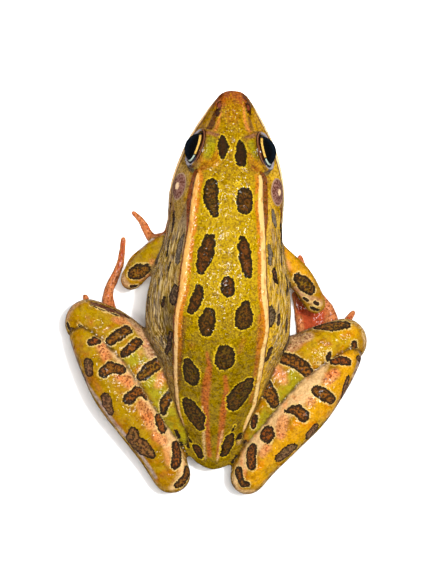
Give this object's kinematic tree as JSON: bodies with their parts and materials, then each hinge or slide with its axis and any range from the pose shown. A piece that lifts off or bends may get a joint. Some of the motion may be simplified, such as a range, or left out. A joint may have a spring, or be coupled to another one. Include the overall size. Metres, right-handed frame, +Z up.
{
  "type": "leopard frog",
  "caption": "Life-size leopard frog sitting with folded hind legs, spread hands and long toes, raised eyes and a pointed snout.",
  "frame": {"origin": "on the floor, under the centre of the model's bounding box", "axes": "+Z up, the snout points to -Y, +Y runs from snout to rump, and the frog's own left is +X"},
  "size_m": [0.0612, 0.081, 0.0285],
  "materials": {
    "skin": "moist, satin to glossy",
    "limb_skin": "moist, satin to glossy",
    "eye": "wet gloss",
    "eardrum": "satin"
  },
  "bodies": {
    "root": {"head": "skin", "torso": "skin", "left_eye": "eye", "right_eye": "eye", "left_eardrum": "eardrum", "right_eardrum": "eardrum", "left_upper_arm": "limb_skin", "right_upper_arm": "limb_skin", "left_forearm": "limb_skin", "right_forearm": "limb_skin", "left_hand": "limb_skin", "right_hand": "limb_skin", "left_thigh": "limb_skin", "right_thigh": "limb_skin", "left_shank": "limb_skin", "right_shank": "limb_skin", "left_tarsus": "limb_skin", "right_tarsus": "limb_skin", "left_foot": "limb_skin", "right_foot": "limb_skin"}
  },
  "joints": []
}
